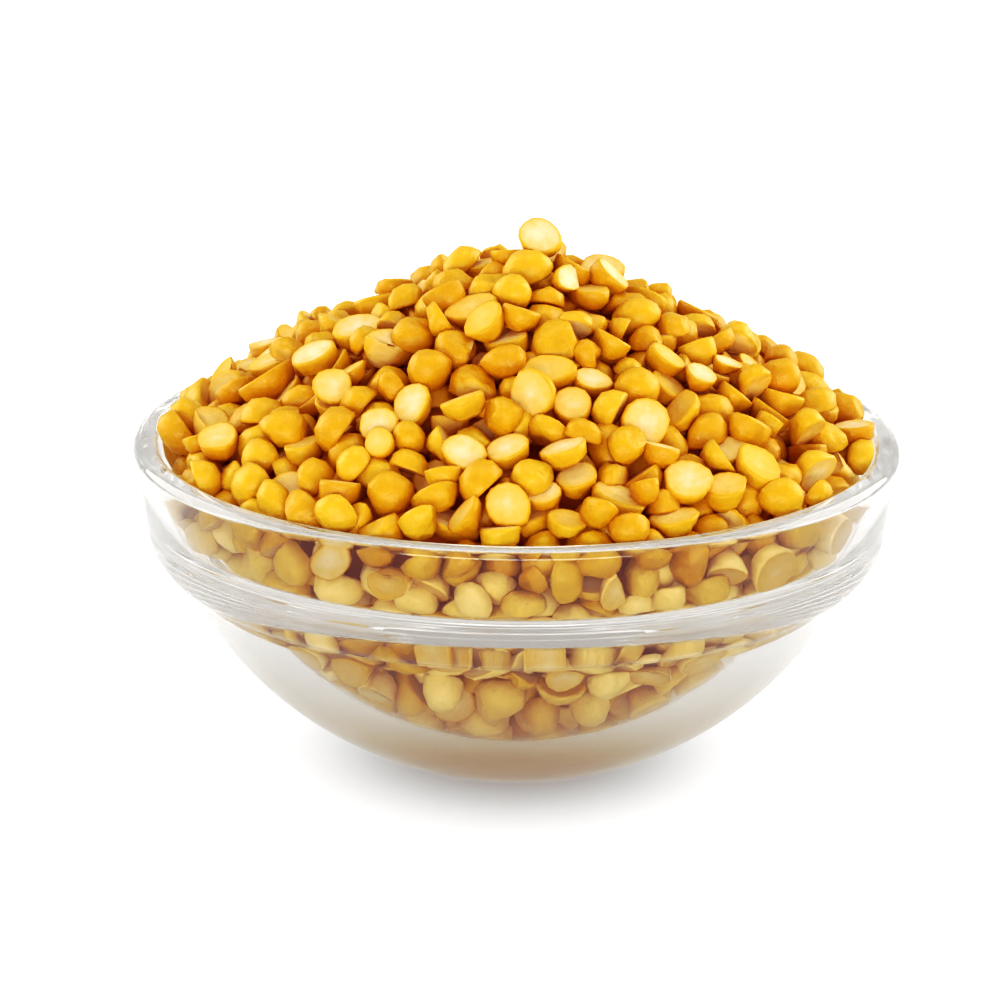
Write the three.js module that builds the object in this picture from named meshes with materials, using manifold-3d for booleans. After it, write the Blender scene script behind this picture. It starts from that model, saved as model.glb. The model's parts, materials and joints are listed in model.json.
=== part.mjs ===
// A clear pressed-glass bowl heaped with chana dal, the skinned and split halves of small chickpeas.
// Millimetres, +Z up. The origin is at the centre of the flat foot that the bowl stands on.

import * as THREE from "three";
import { mergeVertices } from "three/addons/utils/BufferGeometryUtils.js";
import Module from "manifold-3d";

const wasm = await Module();
wasm.setup();

// Driving dimensions of the bowl
const RIM_RADIUS = 60; // outside of the rim
const BOWL_HEIGHT = 52;
const RIM_WIDTH = 3.9; // glass across the rim's top
const RIM_OUTER_ROUND = 1.5;
const RIM_INNER_ROUND = 1.2;
const BODY_RADIUS = 58.5; // the lower body is part of a sphere
const BODY_CENTRE = BOWL_HEIGHT + 4.4; // height of the sphere's centre
const WALL = 6.3; // glass thickness of the lower body
const BAND_TOP_RADIUS = 59.5; // upright band between the rim and the stacking shoulder
const BAND_TOP = BOWL_HEIGHT - 3.3;
const SHOULDER_RADIUS = 57.95; // outside of the band where the shoulder starts to turn in
const SHOULDER_TOP = BOWL_HEIGHT - 13;
const SHOULDER_ROUND = 8.5;
const SHOULDER_TURN = 67; // degrees that the shoulder turns before it meets the body
const LEDGE_TOP = BOWL_HEIGHT - 10.5; // the sloping ledge inside, behind the shoulder
const LEDGE_BOTTOM = BOWL_HEIGHT - 17.4;
const LEDGE_WALL_RADIUS = 54.1;
const LEDGE_CURVE = 4; // height over which the ledge bends at its top and again at its foot
const LEDGE_FLARE = 2; // how far out the ledge leaves the body

// Driving dimensions of the heap, with heights measured from the rim's top
const HEAP_PEAK = 30.3;
const HEAP_SLOPE = 0.626;
const HEAP_ROUNDING = 13; // how bluntly the cone ends at its peak
const HEAP_LEAN = 0.6; // the peak stands this far to +X of the axis
const HEAP_EDGE = 51.5; // outside this radius the heap drops away to the glass
const HEAP_EDGE_DROP = 0.1;
const HEAP_WAVES = 0.9; // height of the slow unevenness round the heap
const HEAP_CALM = 20; // the unevenness dies away within this distance of the peak
const WAVE_TURNS = [0.6, 2.1]; // where round the heap its two waves start, in radians

// Driving dimensions of one split grain, flat on its cut face and domed on the other
const GRAIN_LENGTH = 7.2;
const GRAIN_WIDTH = 6.1;
const GRAIN_THICKNESS = 3.5;
const GRAIN_SPREAD = 0.16; // share by which the sizes differ from grain to grain
const GRAIN_SIDES = 6;

// How many grains show, and how they are set
const TOP_GRAINS = 186;
const TOP_TILT = 38; // most degrees that a grain on top leans from the slope
const TOP_SINK = [0.34, 0.6]; // depth of a grain's middle under the outline, by its thickness
const PEAK_GRAIN = [2.2, 0, 0.5]; // place of the last grain, its height above the outline
const PEAK_GRAIN_NORMAL = [0, -0.75, 0.66]; // it leans on the others with one face to -Y
const SIDE_GRAIN_SPACING = 15; // between the grains that show through the glass
const SIDE_TILT = 24;
const SIDE_SINK = 0.55;
const SIDE_SHIFT = 0.8; // most that a grain behind the glass lies above or below its ring
const CORE_DEPTH = 2.4; // how far the core lies under the heap's outline and behind the glass
const CORE_DENTS = 1.1; // most that the core's side is dented between the grains
const GLASS_GAP = 0.45; // kept free between any grain and the glass
const MOVES = 6; // tries at moving a grain clear of the glass before it is left out
const SEED = 41;

// How finely the round shapes are divided
const ROUND_STEPS = 40;
const BODY_STEPS = 6;
const SHOULDER_STEPS = 4;
const LEDGE_STEPS = 5;
const RIM_STEPS = 2;
const CORE_STEPS = 20;
const CORE_RINGS = 4;
const TOP_RINGS = 6;
const RING_CROWDING = 0.8; // under 1, the rings of the top lie closer near the rim
const WELD = 1e-4; // corners nearer than this are one corner
const GOLDEN_ANGLE = Math.PI * (3 - Math.sqrt(5));
const { degToRad, lerp } = THREE.MathUtils;

THREE.MathUtils.seededRandom(SEED);
const random = (low, high) => lerp(low, high, THREE.MathUtils.seededRandom());

const point = (radius, height) => new THREE.Vector2(radius, height);

// An arc in the (radius, height) plane, from one angle to another in degrees.
function arc(centre, radius, from, to, steps) {
  const curve = new THREE.EllipseCurve(
    centre.x, centre.y, radius, radius, degToRad(from), degToRad(to), to < from,
  );
  return curve.getPoints(steps);
}

// Radius at a height, and angle from the centre's level, of a sphere round the body's centre.
const sphereRadius = (sphere, height) => Math.sqrt(sphere ** 2 - (BODY_CENTRE - height) ** 2);
const sphereAngle = (height, radius) =>
  THREE.MathUtils.radToDeg(Math.atan2(height - BODY_CENTRE, radius));

// The outside of the glass, from the centre of the foot up to the rim.
function outerProfile() {
  const footRadius = sphereRadius(BODY_RADIUS, 0);
  const shoulderCentre = point(SHOULDER_RADIUS - SHOULDER_ROUND, SHOULDER_TOP);
  const shoulder = arc(shoulderCentre, SHOULDER_ROUND, -SHOULDER_TURN, 0, SHOULDER_STEPS);
  const bodyTop = shoulder[0].y;
  const [foot, top] = [
    sphereAngle(0, footRadius), sphereAngle(bodyTop, sphereRadius(BODY_RADIUS, bodyTop)),
  ];
  const body = arc(point(0, BODY_CENTRE), BODY_RADIUS, foot, top, BODY_STEPS);
  const rimCentre = point(RIM_RADIUS - RIM_OUTER_ROUND, BOWL_HEIGHT - RIM_OUTER_ROUND);
  const rim = arc(rimCentre, RIM_OUTER_ROUND, 0, 90, RIM_STEPS);
  return [point(0, 0), ...body.slice(0, -1), ...shoulder, point(BAND_TOP_RADIUS, BAND_TOP), ...rim];
}

// The inside of the glass, from the rim down to the centre of the bowl's floor.
function innerProfile() {
  const sphere = BODY_RADIUS - WALL;
  const mouth = RIM_RADIUS - RIM_WIDTH;
  const rimCentre = point(mouth + RIM_INNER_ROUND, BOWL_HEIGHT - RIM_INNER_ROUND);
  const rim = arc(rimCentre, RIM_INNER_ROUND, 90, 180, RIM_STEPS);
  const bodyTop = point(sphereRadius(sphere, LEDGE_BOTTOM), LEDGE_BOTTOM);
  const ledge = new THREE.CubicBezierCurve(
    point(LEDGE_WALL_RADIUS, LEDGE_TOP),
    point(LEDGE_WALL_RADIUS - LEDGE_FLARE / 4, LEDGE_TOP - LEDGE_CURVE),
    point(bodyTop.x + LEDGE_FLARE, LEDGE_BOTTOM + LEDGE_CURVE),
    bodyTop,
  ).getPoints(LEDGE_STEPS);
  const from = sphereAngle(LEDGE_BOTTOM, bodyTop.x);
  const body = arc(point(0, BODY_CENTRE), sphere, from, -90, BODY_STEPS - 1);
  return [...rim, ...ledge, ...body.slice(1, -1), point(0, BODY_CENTRE - sphere)];
}

// A solid of revolution about +Z from a profile that starts and ends on the axis.
function turned(profile, steps) {
  return new THREE.LatheGeometry(profile, steps).rotateX(Math.PI / 2);
}

// A geometry with its places only, so that corners that meet can be joined.
function bare(geometry) {
  return new THREE.BufferGeometry()
    .setAttribute("position", geometry.attributes.position)
    .setIndex(geometry.index);
}

// A closed geometry as a solid that can be joined.
function solid(geometry) {
  const merged = mergeVertices(bare(geometry), WELD);
  return new wasm.Manifold(
    new wasm.Mesh({
      numProp: 3,
      vertProperties: merged.attributes.position.array,
      triVerts: new Uint32Array(merged.index.array),
    }),
  );
}

// A solid's surface as a geometry.
function surface(made) {
  const mesh = made.getMesh();
  return new THREE.BufferGeometry()
    .setAttribute("position", new THREE.BufferAttribute(mesh.vertProperties, 3))
    .setIndex(new THREE.BufferAttribute(mesh.triVerts, 1));
}

const inside = innerProfile();

// Radius of the bowl's hollow at a height, and open air above the rim.
function hollowRadius(height) {
  if (height >= BOWL_HEIGHT + GLASS_GAP) return RIM_RADIUS;
  const at = inside.findIndex((p) => p.y <= height);
  if (at < 0) return 0;
  if (at === 0) return RIM_RADIUS - RIM_WIDTH;
  const [upper, lower] = [inside[at - 1], inside[at]];
  return lerp(lower.x, upper.x, (height - lower.y) / (upper.y - lower.y || 1));
}

// Height of the heap's outline above the foot at a place in plan.
function heapHeight(x, y) {
  const fromPeak = Math.hypot(x - HEAP_LEAN, y);
  const fromAxis = Math.hypot(x, y);
  const around = Math.atan2(y, x);
  const cone = HEAP_PEAK - HEAP_SLOPE * (Math.hypot(fromPeak, HEAP_ROUNDING) - HEAP_ROUNDING);
  const edge = HEAP_EDGE_DROP * Math.max(0, fromAxis - HEAP_EDGE) ** 2;
  const waves = Math.sin(3 * around + WAVE_TURNS[0]) + Math.sin(5 * around + WAVE_TURNS[1]);
  const rough = (HEAP_WAVES / 2) * waves * Math.min(1, fromPeak / HEAP_CALM);
  return BOWL_HEIGHT + cone - edge + rough;
}

// The way out of the heap's outline at a place in plan.
function heapNormal(x, y) {
  const step = 1;
  const slopeX = (heapHeight(x + step, y) - heapHeight(x - step, y)) / (2 * step);
  const slopeY = (heapHeight(x, y + step) - heapHeight(x, y - step)) / (2 * step);
  return new THREE.Vector3(-slopeX, -slopeY, 1).normalize();
}

// The packed middle of the heap, clear of the glass and under its outline.
function core() {
  const sphere = BODY_RADIUS - WALL - CORE_DEPTH;
  const edgeRadius = RIM_RADIUS - RIM_WIDTH - CORE_DEPTH;
  const bodyTop = LEDGE_BOTTOM - CORE_DEPTH;
  const topAngle = sphereAngle(bodyTop, sphereRadius(sphere, bodyTop));
  const body = arc(point(0, BODY_CENTRE), sphere, -90, topAngle, CORE_RINGS);
  body[0].x = 0;
  const bandFoot = point(LEDGE_WALL_RADIUS - 1.5 * CORE_DEPTH, LEDGE_TOP);
  const top = Array.from({ length: TOP_RINGS + 1 }, (_, i) => {
    const radius = edgeRadius * (1 - i / TOP_RINGS) ** RING_CROWDING;
    return point(radius, heapHeight(radius, 0) - CORE_DEPTH);
  });
  const merged = mergeVertices(bare(turned([...body, bandFoot, ...top], CORE_STEPS)), WELD);
  // The top takes the height of the uneven outline above it, and the side is dented.
  const place = merged.attributes.position;
  for (let i = 0; i < place.count; i++) {
    const [x, y, z] = [place.getX(i), place.getY(i), place.getZ(i)];
    if (z > top[0].y - WELD) place.setZ(i, heapHeight(x, y) - CORE_DEPTH);
    const dent = z > LEDGE_TOP ? 0 : random(0, CORE_DENTS) / sphere;
    place.setX(i, x * (1 - dent));
    place.setY(i, y * (1 - dent));
  }
  return solid(merged);
}

// One grain centred on its middle, its cut face below and its dome above.
function grain() {
  const size = () => 1 + random(-GRAIN_SPREAD, GRAIN_SPREAD);
  const profile = [point(0, 0), point(0.48, 0.06), point(0.4, 0.66), point(0, 1)];
  const [length, width] = [GRAIN_LENGTH * size(), GRAIN_WIDTH * size()];
  const thickness = GRAIN_THICKNESS * size();
  return turned(profile, GRAIN_SIDES)
    .rotateZ(random(0, Math.PI))
    .scale(length, width, thickness)
    .translate(0, 0, -thickness / 2);
}

// A turn that lays a grain along a surface, either face up, leaning by up to tilt degrees.
function lay(normal, tilt) {
  const lie = new THREE.Quaternion().setFromUnitVectors(new THREE.Vector3(0, 0, 1), normal);
  const lean = new THREE.Quaternion().setFromEuler(
    new THREE.Euler(degToRad(random(-tilt, tilt)), degToRad(random(-tilt, tilt)), 0),
  );
  const flip = new THREE.Quaternion().setFromEuler(
    new THREE.Euler(random(0, 1) < 0.5 ? Math.PI : 0, 0, random(0, 2 * Math.PI)),
  );
  return lie.multiply(lean).multiply(flip);
}

// How far the grain has to move towards the axis to stay clear of the glass.
function crossing(geometry) {
  const place = geometry.attributes.position;
  let most = -Infinity;
  for (let i = 0; i < place.count; i++) {
    const radius = Math.hypot(place.getX(i), place.getY(i));
    most = Math.max(most, radius + GLASS_GAP - hollowRadius(place.getZ(i)));
  }
  return most;
}

// A grain set at a place, moved in from the glass if it would cross it, or none if it can't fit.
function setGrain(place, normal, tilt) {
  const made = grain().applyQuaternion(lay(normal, tilt)).translate(...place.toArray());
  for (let move = 0; move < MOVES; move++) {
    const over = crossing(made);
    if (over <= 0) return made;
    const inward = -(over + GLASS_GAP / 10) / Math.hypot(place.x, place.y);
    made.translate(place.x * inward, place.y * inward, 0);
  }
  return null;
}

// The grains on top, spread evenly by the golden angle.
function topGrains() {
  const reach = RIM_RADIUS - RIM_WIDTH - GRAIN_THICKNESS / 2;
  return Array.from({ length: TOP_GRAINS }, (_, i) => {
    const radius = reach * Math.sqrt((i + 0.5) / TOP_GRAINS);
    const x = radius * Math.cos(i * GOLDEN_ANGLE);
    const y = radius * Math.sin(i * GOLDEN_ANGLE);
    const normal = heapNormal(x, y);
    const depth = random(...TOP_SINK) * GRAIN_THICKNESS;
    const place = new THREE.Vector3(x, y, heapHeight(x, y)).addScaledVector(normal, -depth);
    return setGrain(place, normal, TOP_TILT);
  });
}

// The last grain, which leans on the others at the very top.
function peakGrain() {
  const [x, y, above] = PEAK_GRAIN;
  const place = new THREE.Vector3(x, y, heapHeight(x, y) + above);
  return setGrain(place, new THREE.Vector3(...PEAK_GRAIN_NORMAL).normalize(), 0);
}

// The rings of grains up the wall: round the lower body, and one round the band.
function sideRings() {
  const sphere = BODY_RADIUS - WALL - GLASS_GAP - SIDE_SINK * GRAIN_THICKNESS;
  const turn = SIDE_GRAIN_SPACING / sphere;
  const last = Math.asin((LEDGE_BOTTOM - BODY_CENTRE) / sphere);
  const rings = [];
  for (let angle = 2 * turn - Math.PI / 2; angle < last; angle += turn) {
    const [out, up] = [Math.cos(angle), Math.sin(angle)];
    rings.push({ radius: sphere * out, height: BODY_CENTRE + sphere * up, out, up });
  }
  const band = LEDGE_WALL_RADIUS - GLASS_GAP - SIDE_SINK * GRAIN_THICKNESS;
  rings.push({ radius: band, height: LEDGE_TOP + GRAIN_WIDTH / 2, out: 1, up: 0 });
  return rings;
}

// The grains that show through the glass, each ring turned half a grain from the last.
function sideGrains() {
  return sideRings().flatMap(({ radius, height, out, up }, ring) => {
    const count = Math.round((2 * Math.PI * radius) / SIDE_GRAIN_SPACING);
    return Array.from({ length: count }, (_, i) => {
      const around = ((i + (ring % 2) / 2) / count) * 2 * Math.PI;
      const [x, y] = [Math.cos(around), Math.sin(around)];
      const shift = random(-SIDE_SHIFT, SIDE_SHIFT);
      const place = new THREE.Vector3(radius * x, radius * y, height + shift);
      return setGrain(place, new THREE.Vector3(out * x, out * y, up), SIDE_TILT);
    });
  });
}

// The heap: the core with every grain fused on, without sealed hollows or loose scraps.
function heap() {
  const grains = [...topGrains(), peakGrain(), ...sideGrains()].filter((g) => g !== null).map(solid);
  const bodies = wasm.Manifold.union([core(), ...grains]).decompose();
  return bodies.reduce((largest, body) => (body.volume() > largest.volume() ? body : largest));
}

const bowl = new THREE.Mesh(
  turned([...outerProfile(), ...inside], ROUND_STEPS),
  new THREE.MeshStandardMaterial({
    color: 0xe4ebe6, roughness: 0.05, metalness: 0, transparent: true, opacity: 0.35,
  }),
);
bowl.name = "glass_bowl";

const dal = new THREE.Mesh(
  surface(heap()),
  new THREE.MeshStandardMaterial({ color: 0xe3a424, roughness: 0.55, metalness: 0 }),
);
dal.name = "dal_heap";

const dish = new THREE.Group();
dish.add(bowl, dal);

export default dish;
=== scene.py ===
# %% [markdown]
# # A glass bowl heaped with chana dal
#
# Chana dal is small chickpeas that are skinned, dried and split, so each grain has one flat cut face and one
# domed back. Here a clear pressed-glass bowl holds a heap of it. The CAD model gives the bowl's size and the
# heap's outline, and this file dresses it: a smooth glass bowl, about twelve hundred separate grains that
# rest on the glass and on each other, a core behind them, and a plain studio round it all.

import json
import math

import bpy
import numpy as np
from mathutils import Matrix, Vector

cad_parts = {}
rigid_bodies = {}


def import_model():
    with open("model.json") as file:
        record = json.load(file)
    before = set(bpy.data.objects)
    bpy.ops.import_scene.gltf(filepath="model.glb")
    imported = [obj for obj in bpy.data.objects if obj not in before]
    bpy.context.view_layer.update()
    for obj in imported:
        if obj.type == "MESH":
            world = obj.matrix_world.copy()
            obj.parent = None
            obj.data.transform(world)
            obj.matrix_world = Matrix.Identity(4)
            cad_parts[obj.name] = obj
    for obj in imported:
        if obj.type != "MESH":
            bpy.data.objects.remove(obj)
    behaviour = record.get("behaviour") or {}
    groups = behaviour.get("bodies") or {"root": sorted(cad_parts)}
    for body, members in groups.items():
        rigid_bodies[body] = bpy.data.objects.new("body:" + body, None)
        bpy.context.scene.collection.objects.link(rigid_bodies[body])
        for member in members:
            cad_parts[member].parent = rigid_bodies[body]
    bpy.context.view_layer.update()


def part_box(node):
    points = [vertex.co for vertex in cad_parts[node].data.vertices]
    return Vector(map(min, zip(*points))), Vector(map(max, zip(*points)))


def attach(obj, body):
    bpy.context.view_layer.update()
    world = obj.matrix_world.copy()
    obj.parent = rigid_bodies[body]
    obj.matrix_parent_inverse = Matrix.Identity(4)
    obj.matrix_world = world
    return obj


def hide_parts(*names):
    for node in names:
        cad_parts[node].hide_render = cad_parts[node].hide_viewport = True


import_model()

# %% [markdown]
# ## Sizes
#
# Blender works in metres, but a grain is only 7 mm long, so the lengths below are millimetres and each mesh
# is scaled once, when it is made. The rim's radius and the bowl's height come from the CAD model, and the
# other sizes of the glass follow from them.

# %% Sizes of the bowl in millimetres
MM = 0.001
low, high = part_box("glass_bowl")
RIM_RADIUS = high.x / MM
BOWL_HEIGHT = high.z / MM
RIM_WIDTH = 3.9
RIM_OUTER_ROUND = 1.5
RIM_INNER_ROUND = 1.2
BODY_RADIUS = 58.5  # the lower body is part of a sphere
BODY_CENTRE = BOWL_HEIGHT + 4.4
WALL = 6.3
BAND_TOP = (RIM_RADIUS - 0.5, BOWL_HEIGHT - 3.3)
SHOULDER_TOP = (RIM_RADIUS - 2.05, BOWL_HEIGHT - 13)
SHOULDER_ROUND = 8.5
SHOULDER_TURN = 67  # degrees that the shoulder turns in before it meets the body
LEDGE_TOP = (RIM_RADIUS - 5.9, BOWL_HEIGHT - 10.5)
LEDGE_BOTTOM = BOWL_HEIGHT - 17.4
LEDGE_CURVE = 4
LEDGE_FLARE = 2
print(f"bowl {2 * RIM_RADIUS:.1f} mm across and {BOWL_HEIGHT:.1f} mm high")

# %% [markdown]
# ## The profile of the glass
#
# A bowl that was pressed in a round mould is a surface of revolution, so one outline of radius and height
# describes it. Arcs give the rim, the stacking shoulder and the round body, and a Bezier curve gives the
# sloping ledge inside. Glass bends light at every surface, so the outline is finer than the CAD model's.

# %% Draw the glass profile
FINE = 28  # steps in each long curve of the profile
FINER = 40  # steps in the shoulder, where light is bent most
RIM_STEPS = 16


def arc(centre, radius, start, end, steps):
    """Points on an arc in the plane of radius and height, with the angles in degrees."""
    angle = np.radians(np.linspace(start, end, steps + 1))
    return np.stack([centre[0] + radius * np.cos(angle), centre[1] + radius * np.sin(angle)], 1)


def bezier(a, b, c, d, steps):
    """Points on a cubic Bezier curve."""
    t = np.linspace(0, 1, steps + 1)[:, None]
    ends = (1 - t) ** 3 * np.array(a) + t**3 * np.array(d)
    handles = 3 * t * (1 - t) ** 2 * np.array(b) + 3 * t**2 * (1 - t) * np.array(c)
    return ends + handles


def sphere_angle(radius, height):
    """Angle, in degrees from level, at which a sphere round the body's centre passes a height."""
    return math.degrees(math.asin((height - BODY_CENTRE) / radius))


def glass_outside():
    """From the centre of the foot up to the top of the rim."""
    centre = (SHOULDER_TOP[0] - SHOULDER_ROUND, SHOULDER_TOP[1])
    shoulder = arc(centre, SHOULDER_ROUND, -SHOULDER_TURN, 0, FINER)
    body_top = sphere_angle(BODY_RADIUS, shoulder[0, 1])
    body = arc((0, BODY_CENTRE), BODY_RADIUS, sphere_angle(BODY_RADIUS, 0), body_top, FINE)
    rim_centre = (RIM_RADIUS - RIM_OUTER_ROUND, BOWL_HEIGHT - RIM_OUTER_ROUND)
    rim = arc(rim_centre, RIM_OUTER_ROUND, 0, 90, RIM_STEPS)
    return np.vstack([[(0, 0)], body[:-1], shoulder, [BAND_TOP], rim])


def glass_inside():
    """From the top of the rim down to the centre of the bowl's floor."""
    sphere = BODY_RADIUS - WALL
    mouth = RIM_RADIUS - RIM_WIDTH
    rim_centre = (mouth + RIM_INNER_ROUND, BOWL_HEIGHT - RIM_INNER_ROUND)
    rim = arc(rim_centre, RIM_INNER_ROUND, 90, 180, RIM_STEPS)
    body = arc((0, BODY_CENTRE), sphere, sphere_angle(sphere, LEDGE_BOTTOM), -90, FINE)
    body[-1, 0] = 0
    upper = (LEDGE_TOP[0] - LEDGE_FLARE / 4, LEDGE_TOP[1] - LEDGE_CURVE)
    lower = (body[0, 0] + LEDGE_FLARE, body[0, 1] + LEDGE_CURVE)
    ledge = bezier(LEDGE_TOP, upper, lower, body[0], FINE)
    return np.vstack([rim, ledge[:-1], body])


outside = glass_outside()
inside = glass_inside()
glass_profile = np.vstack([outside, inside])
print(f"glass profile of {len(glass_profile)} points")

# %% [markdown]
# ## Turning a profile into a mesh
#
# The Spin tool or a Screw modifier could turn the profile, but both leave doubled points on the axis.
# Placing the rings as arrays gives single points at the poles, so the glass is closed and light passes it
# cleanly.

# %% Turn the bowl
ROUND_STEPS = 480


def make_object(name, points, faces):
    """A smooth mesh object at the origin, from points in millimetres."""
    mesh = bpy.data.meshes.new(name)
    mesh.from_pydata((np.asarray(points) * MM).tolist(), [], faces)
    mesh.polygons.foreach_set("use_smooth", [True] * len(mesh.polygons))
    mesh.update()
    made = bpy.data.objects.new(name, mesh)
    bpy.context.scene.collection.objects.link(made)
    return made


def turned(name, profile, steps):
    """A closed mesh turned about the upright axis from a profile that starts and ends on it."""
    turn = np.arange(steps) / steps * 2 * np.pi
    ring = np.stack([np.cos(turn), np.sin(turn)], 1)
    middle = profile[1:-1]
    rings = np.concatenate(
        [middle[:, None, :1] * ring, np.repeat(middle[:, None, 1:], steps, 1)], 2
    ).reshape(-1, 3)
    first, last = len(rings), len(rings) + 1
    points = np.vstack([rings, [(0, 0, profile[0, 1]), (0, 0, profile[-1, 1])]])
    faces = []
    for i in range(steps):
        j = (i + 1) % steps
        faces.append((first, j, i))
        for k in range(len(middle) - 1):
            a, b = k * steps, (k + 1) * steps
            faces.append((a + i, a + j, b + j, b + i))
        end = (len(middle) - 1) * steps
        faces.append((end + i, end + j, last))
    return make_object(name, points, faces)


bowl = turned("pressed_glass_bowl", glass_profile, ROUND_STEPS)
print(f"{bowl.name}: {len(bowl.data.polygons)} faces")

# %% [markdown]
# ## The heap's outline
#
# Poured dal settles at its angle of repose, about 32 degrees, so the heap is a blunt cone that drops away to
# the glass at its edge. It is the same rule that the CAD model uses, with a little slow unevenness round it.

# %% State the heap's outline
HEAP_PEAK = 30.3  # above the rim's top
HEAP_SLOPE = 0.626
HEAP_ROUNDING = 13
HEAP_LEAN = 0.6
HEAP_EDGE = 51.5
HEAP_EDGE_DROP = 0.1
HEAP_WAVES = 0.9
HEAP_CALM = 20
WAVE_TURNS = (0.6, 2.1)


def heap_height(x, y):
    """Height of the heap's outline above the foot at places in plan."""
    from_peak = np.hypot(x - HEAP_LEAN, y)
    around = np.arctan2(y, x)
    cone = HEAP_PEAK - HEAP_SLOPE * (np.hypot(from_peak, HEAP_ROUNDING) - HEAP_ROUNDING)
    edge = HEAP_EDGE_DROP * np.maximum(0, np.hypot(x, y) - HEAP_EDGE) ** 2
    waves = np.sin(3 * around + WAVE_TURNS[0]) + np.sin(5 * around + WAVE_TURNS[1])
    rough = HEAP_WAVES / 2 * waves * np.minimum(1, from_peak / HEAP_CALM)
    return BOWL_HEIGHT + cone - edge + rough


print(f"the heap's peak is {heap_height(HEAP_LEAN, 0):.1f} mm above the foot")

# %% [markdown]
# ## Room to the glass
#
# A grain must not cross the glass. The bowl is round, so the distance to the glass depends only on radius
# and height, and one small grid of distances serves every grain. Values are above zero in the open and below
# zero inside the glass.

# %% Measure the distance to the glass
GRID = 0.5  # millimetres between the grid's points
GRID_RADIUS, GRID_HEIGHT = 70, 100


def distance_to_outline(points, outline):
    """Distance from points to a closed outline, below zero inside it."""
    ahead = np.roll(outline, -1, axis=0)
    run = ahead - outline
    offset = points[:, None] - outline
    share = np.clip((offset * run).sum(-1) / (run**2).sum(-1), 0, 1)
    nearest = np.linalg.norm(offset - share[..., None] * run, axis=-1).min(1)
    level = points[:, None, 1]
    spans = (outline[:, 1] <= level) != (ahead[:, 1] <= level)
    rise = np.where(run[:, 1] == 0, 1, run[:, 1])
    at = outline[:, 0] + (level - outline[:, 1]) / rise * run[:, 0]
    within = (spans & (points[:, None, 0] < at)).sum(1) % 2 == 1
    return np.where(within, -nearest, nearest)


grid_radii = np.arange(0, GRID_RADIUS, GRID)
grid_heights = np.arange(0, GRID_HEIGHT, GRID)


def room_at_radius(radius):
    """Distances to the glass at one radius, for all the grid's heights."""
    column = np.stack([np.full_like(grid_heights, radius), grid_heights], 1)
    return distance_to_outline(column, glass_profile)


open_room = np.array([room_at_radius(radius) for radius in grid_radii])


def room_to_glass(points):
    """Distance from points to the glass, read from the grid."""
    u = np.clip(np.hypot(points[..., 0], points[..., 1]) / GRID, 0, len(grid_radii) - 1.001)
    v = np.clip(points[..., 2] / GRID, 0, len(grid_heights) - 1.001)
    i, j = u.astype(int), v.astype(int)
    s, t = u - i, v - j
    near = open_room[i, j] * (1 - t) + open_room[i, j + 1] * t
    far = open_room[i + 1, j] * (1 - t) + open_room[i + 1, j + 1] * t
    return near * (1 - s) + far * s


print(f"room half way up the bowl: {room_to_glass(np.array([0, 0, BOWL_HEIGHT / 2])):.1f} mm")

# %% [markdown]
# ## How grains come to rest
#
# A rigid-body simulation could pour the dal, but thousands of touching grains take minutes and the heap
# would slump differently on each change. Dropping grains one by one is quicker and always gives the same
# heap. Each grain is treated as half an ellipsoid, moved along a straight way until it first touches the
# glass or another grain. Of several tries one of the deepest is kept, and it is then nudged and turned a few
# times, the way a real grain rocks into its seat.

# %% Write the rules of resting
COG = 0.4  # height of a grain's middle above its cut face, as a share of its thickness
REACH = 10  # grains further than this from a falling grain's way can't touch it
TRACE = 9  # steps in which a point follows its way to the glass
GAP = 0.2  # left between grains and glass, as a grain is felt at a few points only
CLOSE = 0.86  # grains meet at this share of their size, because dents and flat spots let them nestle
LYING_TILT = 28  # degrees, the spread of grains that lie nearly level
ANY_SIDE = (0.3, 0.9, 0.2)  # any way that isn't along the normal
TINY = 1e-9  # stands for a slope of zero
SHELL_RINGS = ((1, 0.06, 12), (0.9, 0.55, 10), (0.55, 0.9, 6), (0, 1, 1), (0.55, 0, 6), (0, 0, 1))


def shell_points():
    """Points spread over a half ball: radius, height and number of points of each ring."""
    points = []
    for radius, height, count in SHELL_RINGS:
        for k in range(count):
            angle = 2 * math.pi * (k + 0.5 * (height > 0)) / count
            points.append((radius * math.cos(angle), radius * math.sin(angle), height))
    return np.array(points)


SHELL = shell_points()


def turns(rng, count):
    """Turns drawn evenly from all directions, as rotation matrices."""
    q = rng.normal(size=(count, 4))
    q /= np.linalg.norm(q, axis=1, keepdims=True)
    return np.array([quaternion_matrix(*row) for row in q])


def quaternion_matrix(w, x, y, z):
    """Rotation matrix of a unit quaternion."""
    return np.array(
        [
            (1 - 2 * (y * y + z * z), 2 * (x * y - w * z), 2 * (x * z + w * y)),
            (2 * (x * y + w * z), 1 - 2 * (x * x + z * z), 2 * (y * z - w * x)),
            (2 * (x * z - w * y), 2 * (y * z + w * x), 1 - 2 * (x * x + y * y)),
        ]
    )


def small_turns(rng, count, degrees):
    """Small turns about random axes."""
    lean = rng.normal(size=(count, 3)) * math.radians(degrees) / 2
    q = np.column_stack([np.ones(count), lean])
    q /= np.linalg.norm(q, axis=1, keepdims=True)
    return np.array([quaternion_matrix(*row) for row in q])


def lying_turns(rng, count):
    """Turns that leave a grain nearly level, with its cut face up or down."""
    spin = rng.uniform(0, np.pi, count)
    level = np.array([quaternion_matrix(math.cos(half), 0, 0, math.sin(half)) for half in spin])
    over = np.array([1, -1, -1]) ** rng.integers(2, size=(count, 1))
    return small_turns(rng, count, LYING_TILT) @ (level * over[:, None])


def onto(normal):
    """A turn that stands +Z along a normal."""
    side = np.cross(ANY_SIDE, normal)
    side /= np.linalg.norm(side)
    return np.column_stack([side, np.cross(normal, side), normal])


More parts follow.
